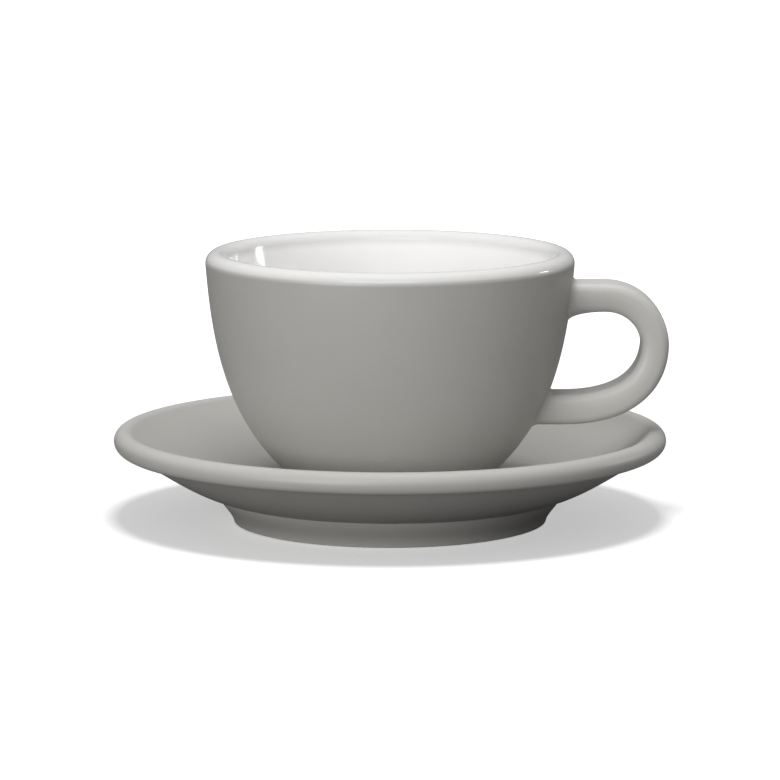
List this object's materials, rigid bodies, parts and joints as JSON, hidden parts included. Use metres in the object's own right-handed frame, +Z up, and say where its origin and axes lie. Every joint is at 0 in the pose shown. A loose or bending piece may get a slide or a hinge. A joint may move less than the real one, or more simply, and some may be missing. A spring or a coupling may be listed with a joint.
{
  "type": "cup and saucer",
  "caption": "Cappuccino cup with a loop handle and a full round lip, standing in the shallow well of its wide, footed saucer; satin grey outside, glossy white inside.",
  "frame": {"origin": "centre of the saucer's foot ring on the table, on the axis that the saucer and the cup share", "axes": "+Z up, +X from the axis to the cup's handle"},
  "size_m": [0.1455, 0.145, 0.0715],
  "materials": {
    "grey_glaze": "satin",
    "white_glaze": "gloss",
    "porcelain": "matte"
  },
  "bodies": {
    "saucer": {"saucer_body": "porcelain", "saucer_glaze": "grey_glaze"},
    "cup": {"cup_body": "porcelain", "cup_inner_glaze": "white_glaze", "cup_outer_glaze": "grey_glaze", "cup_handle": "porcelain", "handle_glaze": "grey_glaze"}
  },
  "joints": [
    {"name": "cup_lift", "type": "slide", "parent": "saucer", "child": "cup", "axis": [0, 0, 1], "range_m": [0, 0.1]}
  ]
}
